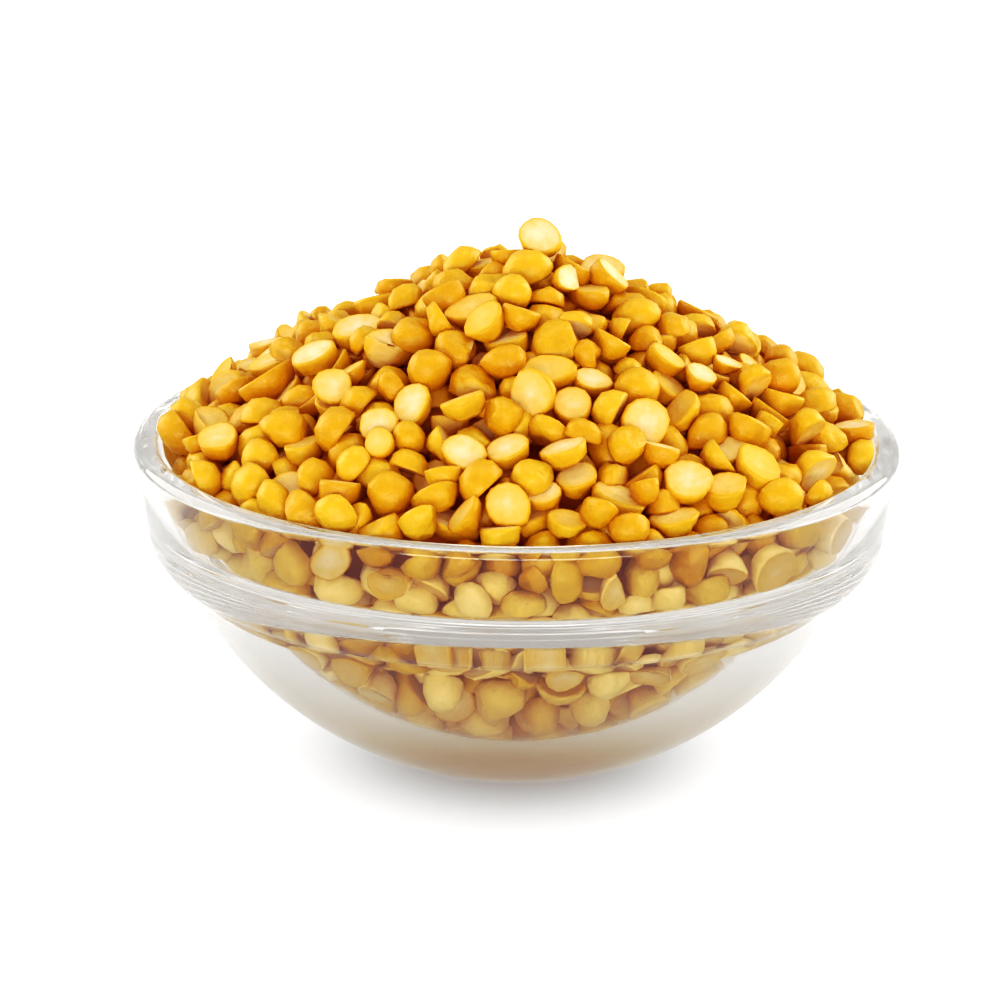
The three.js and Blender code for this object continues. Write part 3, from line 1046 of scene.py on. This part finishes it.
def shaded_dal():
    material, tree, output = new_material("dal in deep shade")
    place = add(tree, "ShaderNodeTexCoord").outputs["Object"]
    clumps = add(
        tree,
        "ShaderNodeTexVoronoi",
        inputs={"Vector": place, "Scale": 1 / (GRAIN_WIDTH * MM)},
    )
    shade = add(tree, "ShaderNodeValToRGB", inputs={"Fac": clumps.outputs["Distance"]})
    shade.color_ramp.elements[0].color = linear(CORE_LIT)
    shade.color_ramp.elements[1].color = linear(CORE_DEEP)
    dull = add(
        tree,
        "ShaderNodeBsdfPrincipled",
        inputs={"Base Color": shade.outputs["Color"], "Roughness": CORE_ROUGH},
    )
    tree.links.new(dull.outputs["BSDF"], output.inputs["Surface"])
    return material


core_sphere = BODY_RADIUS - WALL - CORE_ROOM
core_turn = sphere_angle(core_sphere, LEDGE_BOTTOM)
core_side = arc((0, BODY_CENTRE), core_sphere, -90, core_turn, CORE_SIDE_STEPS)
core_side[0, 0] = 0
core_radii = np.linspace(CORE_EDGE, 0, CORE_TOP_RINGS)
core_top = np.stack([core_radii, heap_height(core_radii, 0 * core_radii) - TOP_LAYER], 1)
core = turned("dal_core", np.vstack([core_side, core_top]), CORE_STEPS)
for vertex in core.data.vertices:
    x, y, z = vertex.co / MM
    if z > core_top[0, 1] - SAME:
        vertex.co.z = (heap_height(x, y) - TOP_LAYER) * MM
core.data.materials.append(shaded_dal())
print(f"{core.name}: {len(core.data.polygons)} faces")

# %% [markdown]
# ## Floor and light
#
# The bowl stands on a plain pale floor between white walls, with a softbox above it, one at each side and a
# long low one in front. Glass shows its shape only against tones darker than white, so the floor that it
# To the camera alone the floor glows white with painted light, which fades out towards the foot, so that
# the real shadow there stays, deepened a little by painted shadow.

# %% Make the studio
FLOOR_SIZE = 6000
FLOOR_GREY = 0.45
FLOOR_ROUGH = 0.9
GLOW = 0.34
WHITE = 0.36  # painted light, added to the glow for the camera where the floor is to look white
WHITE_START, WHITE_END = 14, 40  # millimetres from the bowl's axis, between which that sets in
SHADE = 0.07  # painted shadow, taken from the glow close to the foot, to the camera alone


def studio_floor():
    half = FLOOR_SIZE / 2
    corners = [(-half, -half, 0), (half, -half, 0), (half, half, 0), (-half, half, 0)]
    floor = make_object("studio_floor", corners, [(0, 1, 2, 3)])
    material, tree, output = new_material("white floor with painted glow and shadow")
    place = add(tree, "ShaderNodeTexCoord").outputs["Object"]
    away = add(tree, "ShaderNodeVectorMath", {"operation": "LENGTH"}, {0: place}).outputs["Value"]
    # painted light that fades into a painted shadow towards the foot, for camera rays only
    white = add(
        tree,
        "ShaderNodeMapRange",
        {"interpolation_type": "SMOOTHSTEP"},
        {
            "Value": away,
            "From Min": WHITE_START * MM,
            "From Max": WHITE_END * MM,
            "To Min": GLOW - SHADE,
            "To Max": GLOW + WHITE,
        },
    ).outputs["Result"]
    seen = add(tree, "ShaderNodeLightPath").outputs["Is Camera Ray"]
    glow = add(tree, "ShaderNodeMix", {"data_type": "FLOAT"}, {0: seen, 2: GLOW, 3: white}).outputs[0]
    board = add(
        tree,
        "ShaderNodeBsdfPrincipled",
        inputs={
            "Base Color": (FLOOR_GREY, FLOOR_GREY, FLOOR_GREY, 1),
            "Roughness": FLOOR_ROUGH,
            "Emission Color": (1, 1, 1, 1),
            "Emission Strength": glow,
        },
    )
    tree.links.new(board.outputs["BSDF"], output.inputs["Surface"])
    floor.data.materials.append(material)
    return floor


floor = studio_floor()


def softbox(name, place, width, height, power):
    """A large soft area light, aimed at the heap, with lengths in millimetres."""
    light = bpy.data.lights.new(name, "AREA")
    light.shape = "RECTANGLE"
    light.size, light.size_y = width * MM, height * MM
    light.energy = power
    holder = bpy.data.objects.new(name, light)
    bpy.context.scene.collection.objects.link(holder)
    holder.location = Vector(place) * MM
    aim = Vector((0, 0, BOWL_HEIGHT)) - Vector(place)
    holder.rotation_euler = aim.to_track_quat("-Z", "Y").to_euler()
    return holder


SOFTBOXES = {  # place, width, height and watts
    "top_softbox": ((0, 100, 1300), 800, 800, 6),
    "left_softbox": ((-900, 400, 450), 1000, 900, 9),
    "right_softbox": ((900, 400, 450), 1000, 900, 11),
    "front_softbox": ((0, -1250, 170), 1600, 320, 13.2),
}
UNSEEN = ("left_softbox", "right_softbox")  # seen through the glass, these two would burn out its shoulder
for name, box in SOFTBOXES.items():
    softbox(name, *box).visible_transmission = name not in UNSEEN

WALL_LIGHT, CEILING_LIGHT = 0.92, 0.5  # the room's white walls are brighter than its ceiling
world = bpy.data.worlds.new("white studio")
bpy.context.scene.world = world
world.use_nodes = True
sky = world.node_tree
upward = add(sky, "ShaderNodeTexCoord").outputs["Generated"]
from_level = add(sky, "ShaderNodeSeparateXYZ", inputs={"Vector": upward}).outputs["Z"]
walls = add(
    sky,
    "ShaderNodeMapRange",
    inputs={"Value": from_level, "To Min": WALL_LIGHT, "To Max": CEILING_LIGHT},
).outputs["Result"]
sky.nodes["Background"].inputs["Color"].default_value = (1, 1, 1, 1)
sky.links.new(walls, sky.nodes["Background"].inputs["Strength"])
print(f"floor {FLOOR_SIZE / 1000:.0f} m wide, lit by {len(bpy.data.lights)} softboxes")

# %% [markdown]
# ## Camera and print
#
# The camera looks down a little on the rim through a long lens. Its place, tilt and lens come from the shape
# of the rim's ellipse in the photo. Dal is orange to brown in its shade and yellow in the light, more than
# its own colour gives, so the picture is printed through curves: green and blue fall faster than red in the
# darks.

# %% Set the camera and the print
CAMERA_DISTANCE = 800
CAMERA_RISE = 16.5  # degrees above level
FOCAL_PIXELS = 5100
IMAGE_WIDTH = 1000
RIM_PIXEL = (516, 435)  # where the rim's centre stands in the picture
CAMERA_ROLL = 0.55  # degrees
SENSOR = 36
RED_CURVE = ((0.1, 0.085), (0.3, 0.285), (0.6, 0.6))  # light in and out
GREEN_CURVE = (
    (0.05, 0.01),
    (0.1, 0.028),
    (0.16, 0.068),
    (0.25, 0.14),
    (0.335, 0.255),
    (0.42, 0.385),
    (0.55, 0.55),
)
BLUE_CURVE = GREEN_CURVE

tilt = math.radians(CAMERA_RISE)
rim_centre = Vector((0, 0, BOWL_HEIGHT))
back = Vector((0, -math.cos(tilt), math.sin(tilt)))
up = Vector((0, math.sin(tilt), math.cos(tilt)))
scale = CAMERA_DISTANCE / FOCAL_PIXELS
aim = rim_centre - Vector(((RIM_PIXEL[0] - IMAGE_WIDTH / 2) * scale, 0, 0))
aim -= up * (IMAGE_WIDTH / 2 - RIM_PIXEL[1]) * scale
eye = rim_centre + back * CAMERA_DISTANCE
lens = bpy.data.cameras.new("camera")
lens.sensor_width = SENSOR
lens.lens = FOCAL_PIXELS * SENSOR / IMAGE_WIDTH
camera = bpy.data.objects.new("camera", lens)
bpy.context.scene.collection.objects.link(camera)
camera.location = eye * MM
look = (aim - eye).to_track_quat("-Z", "Y").to_matrix()
camera.rotation_euler = (look @ Matrix.Rotation(math.radians(CAMERA_ROLL), 3, "Z")).to_euler()
bpy.context.scene.camera = camera
view = bpy.context.scene.view_settings
view.view_transform = "Standard"
view.use_curve_mapping = True
for channel, steps in enumerate((RED_CURVE, GREEN_CURVE, BLUE_CURVE)):
    for light_in, light_out in steps:
        view.curve_mapping.curves[channel].points.new(light_in, light_out)
view.curve_mapping.update()
# Light is caught many times over inside a thick rim, and paths cut short there would turn it black.
paths = bpy.context.scene.cycles
paths.max_bounces = 32
paths.glossy_bounces = 24
paths.transmission_bounces = 24
paths.diffuse_bounces = 3
print(f"camera {CAMERA_DISTANCE} mm away, lens {lens.lens:.0f} mm")

# %% [markdown]
# ## Tying the pieces to the CAD model
#
# Nothing on the bowl moves, so every piece rides on the one body, and the parts of the CAD model that the
# pieces stand for are hidden. The floor is only part of the studio.

# %% Tie each piece to the body and hide the parts it stands for
for piece in [*dal, core]:
    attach(piece, "root")
    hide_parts("dal_heap")
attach(bowl, "root")
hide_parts("glass_bowl")
